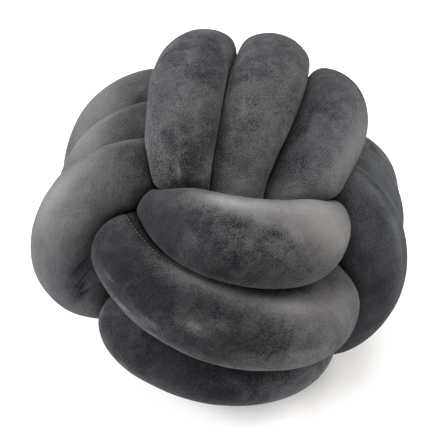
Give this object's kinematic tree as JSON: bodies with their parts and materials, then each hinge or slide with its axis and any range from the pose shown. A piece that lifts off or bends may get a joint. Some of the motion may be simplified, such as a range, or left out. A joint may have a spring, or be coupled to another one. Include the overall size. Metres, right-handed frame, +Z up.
{
  "type": "knotted ball cushion",
  "caption": "Round cushion knotted from one thick stuffed plush tube, whose strands wrap the ball side by side and dive under each other.",
  "frame": {"origin": "middle of the ball's outline seen from above, on the floor that it lies on", "axes": "+Z up from the floor, -Y towards the face where the belt's three strands run from left to right, +X to the right of that face"},
  "size_m": [0.3306, 0.3528, 0.3304],
  "materials": {
    "grey_plush": "dark grey short-pile plush with a brushed nap"
  },
  "bodies": {
    "root": {"knotted_tube": "grey_plush"}
  },
  "joints": []
}
